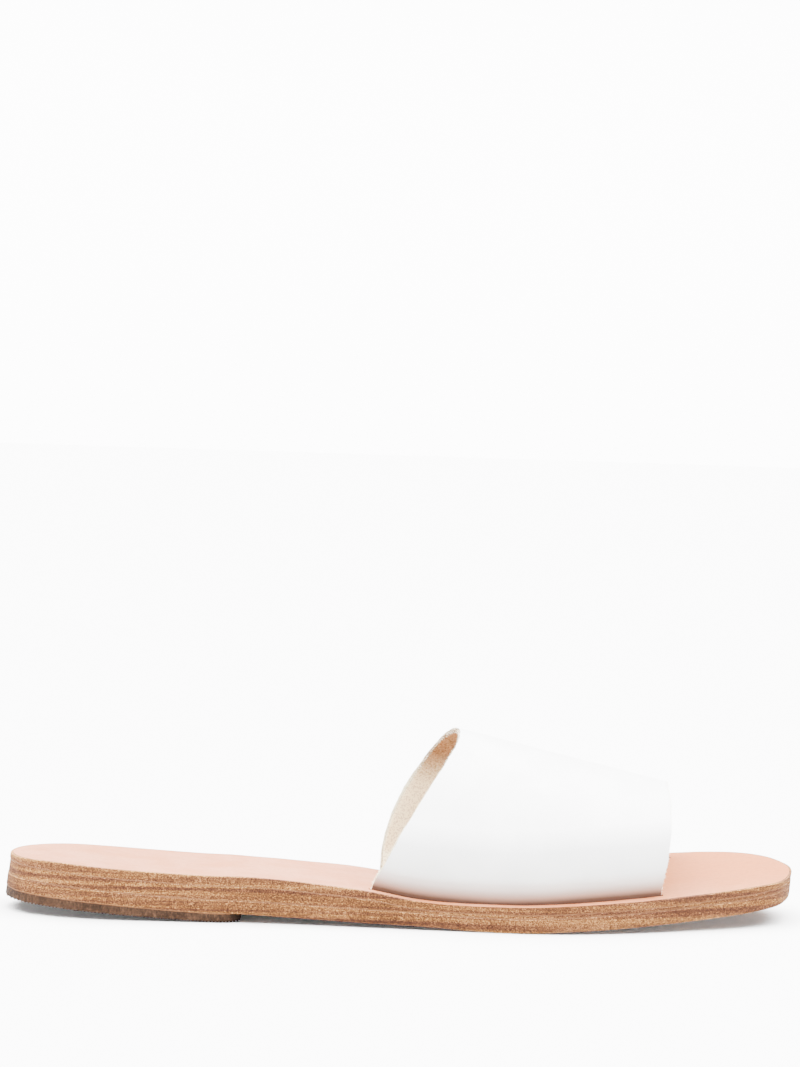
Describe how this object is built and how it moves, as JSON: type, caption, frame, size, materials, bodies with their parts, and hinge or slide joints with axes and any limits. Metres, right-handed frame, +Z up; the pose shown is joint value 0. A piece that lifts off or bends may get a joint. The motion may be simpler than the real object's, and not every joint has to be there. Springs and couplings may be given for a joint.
{
  "type": "slide sandal",
  "caption": "Flat open-toe, open-back leather slide sandal for the right foot: layered leather sole with a low heel piece, and one wide band over the instep.",
  "frame": {"origin": "on the floor, under the middle of the sole's length and width", "axes": "+X from the heel to the toes, +Y to the inner (medial) side of the foot, +Z up"},
  "size_m": [0.2598, 0.085, 0.0604],
  "materials": {
    "heel_rubber": "matt dark tan rubber, ribbed underneath",
    "sole_leather": "tan sole leather, bare edge with fibres showing",
    "wedge_leather": "tan filler leather, bare edge with fibres showing",
    "footbed_leather": "smooth blush vegetable-tanned leather, soft low sheen",
    "strap_leather": "smooth white leather, cream suede inside and at its raw edges"
  },
  "bodies": {
    "root": {"heel_lift": "heel_rubber", "outsole": "sole_leather", "midsole": "wedge_leather", "insole": "footbed_leather", "strap": "strap_leather"}
  },
  "joints": []
}
